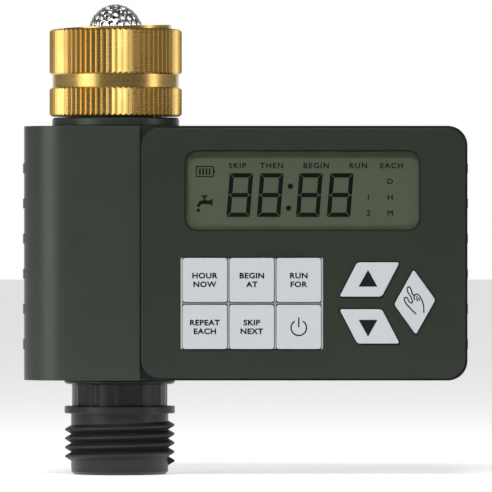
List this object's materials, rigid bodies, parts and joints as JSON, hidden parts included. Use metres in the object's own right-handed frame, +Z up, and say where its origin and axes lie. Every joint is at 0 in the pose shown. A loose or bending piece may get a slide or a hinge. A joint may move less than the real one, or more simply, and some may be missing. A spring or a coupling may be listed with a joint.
{
  "type": "drip irrigation timer",
  "caption": "Battery hose-tap watering timer with a brass swivel inlet, a threaded outlet, a display, keys and a motorised ball valve.",
  "frame": {"origin": "centre of the inlet washer's sealing face, on the inlet axis", "axes": "+Z up along the inlet, +X from the inlet towards the control panel, the panel faces -Y"},
  "size_m": [0.1093, 0.0397, 0.116],
  "materials": {
    "housing_green": "fine satin moulded plastic",
    "panel_green": "satin moulded plastic",
    "nut_brass": "machined, polished",
    "valve_brass": "turned",
    "black_plastic": "semi-gloss moulded plastic",
    "seal_rubber": "matt",
    "filter_steel": "bright perforated sheet",
    "steel": "bright plated",
    "valve_white": "satin",
    "gear_white": "satin acetal",
    "key_grey": "satin",
    "keypad_grey": "matt silicone",
    "display_green": "smooth glass",
    "window_clear": "clear",
    "board_green": "solder mask",
    "cell_wrap": "printed film",
    "lead_red": "soft insulation"
  },
  "bodies": {
    "timer_body": {"inlet_tailpiece": "black_plastic", "tailpiece_oring": "seal_rubber", "inlet_collar": "housing_green", "valve_body": "valve_white", "upper_seat": "valve_white", "lower_seat": "valve_white", "outlet_fitting": "black_plastic", "outlet_oring": "seal_rubber", "idler_pin": "steel", "drive_motor": "steel", "gearbox_plate": "black_plastic", "gearbox_cover": "black_plastic", "gearbox_screw_1": "steel", "gearbox_screw_2": "steel", "gearbox_screw_3": "steel", "motor_lead_red": "lead_red", "motor_lead_black": "black_plastic", "keypad_mat": "keypad_grey", "front_bezel": "panel_green", "display_window": "window_clear", "display_glass": "display_green", "display_frame": "black_plastic", "main_board": "board_green", "board_contact_plus": "steel", "board_contact_minus": "steel", "front_shell": "housing_green", "rear_shell": "housing_green", "housing_seal_left": "seal_rubber", "housing_seal_right": "seal_rubber", "housing_screw_1": "steel", "housing_screw_2": "steel", "housing_screw_3": "steel", "housing_screw_4": "steel"},
    "nut": {"inlet_nut": "nut_brass"},
    "filter_unit": {"inlet_filter": "filter_steel", "inlet_washer": "seal_rubber"},
    "valve_rotor": {"valve_ball": "steel", "valve_stem": "valve_brass", "stem_oring": "seal_rubber", "output_gear": "gear_white"},
    "idler": {"idler_gear": "gear_white"},
    "pinion": {"motor_pinion": "valve_brass"},
    "tray": {"battery_tray": "housing_green", "tray_seal": "seal_rubber", "battery_cell_1": "cell_wrap", "battery_cell_2": "cell_wrap", "contact_spring_1": "steel", "contact_spring_2": "steel", "cell_bridge": "steel", "tray_contact_plus": "steel", "tray_contact_minus": "steel"},
    "key_set_clock_cap": {"key_set_clock": "key_grey"},
    "key_start_time_cap": {"key_start_time": "key_grey"},
    "key_how_long_cap": {"key_how_long": "key_grey"},
    "key_how_often_cap": {"key_how_often": "key_grey"},
    "key_rain_delay_cap": {"key_rain_delay": "key_grey"},
    "key_power_cap": {"key_power": "key_grey"},
    "key_up_cap": {"key_up": "key_grey"},
    "key_down_cap": {"key_down": "key_grey"},
    "key_manual_cap": {"key_manual": "key_grey"}
  },
  "joints": [
    {"name": "nut_spin", "type": "hinge", "parent": "timer_body", "child": "nut", "pos_m": [0, 0, 0], "axis": [0, 0, 1], "continuous": true},
    {"name": "filter_lift", "type": "slide", "parent": "timer_body", "child": "filter_unit", "axis": [0, 0, 1], "range_m": [0, 0.03]},
    {"name": "ball_turn", "type": "hinge", "parent": "timer_body", "child": "valve_rotor", "pos_m": [0.001, 0, -0.044], "axis": [1, 0, 0], "range_deg": [0, 90]},
    {"name": "idler_spin", "type": "hinge", "parent": "timer_body", "child": "idler", "pos_m": [0.0186, 0.0025, -0.03216], "axis": [1, 0, 0], "range_deg": [-271, 0]},
    {"name": "pinion_spin", "type": "hinge", "parent": "timer_body", "child": "pinion", "pos_m": [0.0218, 0.0082, -0.04283], "axis": [1, 0, 0], "range_deg": [0, 811]},
    {"name": "tray_slide", "type": "slide", "parent": "timer_body", "child": "tray", "axis": [0, 1, 0], "range_m": [0, 0.024]},
    {"name": "key_set_clock_press", "type": "slide", "parent": "timer_body", "child": "key_set_clock_cap", "axis": [0, 1, 0], "range_m": [0, 0.0008], "stiffness_N_per_m": 400, "springref_m": -0.0003},
    {"name": "key_start_time_press", "type": "slide", "parent": "timer_body", "child": "key_start_time_cap", "axis": [0, 1, 0], "range_m": [0, 0.0008], "stiffness_N_per_m": 400, "springref_m": -0.0003},
    {"name": "key_how_long_press", "type": "slide", "parent": "timer_body", "child": "key_how_long_cap", "axis": [0, 1, 0], "range_m": [0, 0.0008], "stiffness_N_per_m": 400, "springref_m": -0.0003},
    {"name": "key_how_often_press", "type": "slide", "parent": "timer_body", "child": "key_how_often_cap", "axis": [0, 1, 0], "range_m": [0, 0.0008], "stiffness_N_per_m": 400, "springref_m": -0.0003},
    {"name": "key_rain_delay_press", "type": "slide", "parent": "timer_body", "child": "key_rain_delay_cap", "axis": [0, 1, 0], "range_m": [0, 0.0008], "stiffness_N_per_m": 400, "springref_m": -0.0003},
    {"name": "key_power_press", "type": "slide", "parent": "timer_body", "child": "key_power_cap", "axis": [0, 1, 0], "range_m": [0, 0.0008], "stiffness_N_per_m": 400, "springref_m": -0.0003},
    {"name": "key_up_press", "type": "slide", "parent": "timer_body", "child": "key_up_cap", "axis": [0, 1, 0], "range_m": [0, 0.0008], "stiffness_N_per_m": 400, "springref_m": -0.0003},
    {"name": "key_down_press", "type": "slide", "parent": "timer_body", "child": "key_down_cap", "axis": [0, 1, 0], "range_m": [0, 0.0008], "stiffness_N_per_m": 400, "springref_m": -0.0003},
    {"name": "key_manual_press", "type": "slide", "parent": "timer_body", "child": "key_manual_cap", "axis": [0, 1, 0], "range_m": [0, 0.0008], "stiffness_N_per_m": 400, "springref_m": -0.0003}
  ],
  "couplings": [
    {"joint": "idler_spin", "follows": "ball_turn", "ratio": -3},
    {"joint": "pinion_spin", "follows": "ball_turn", "ratio": 9}
  ]
}
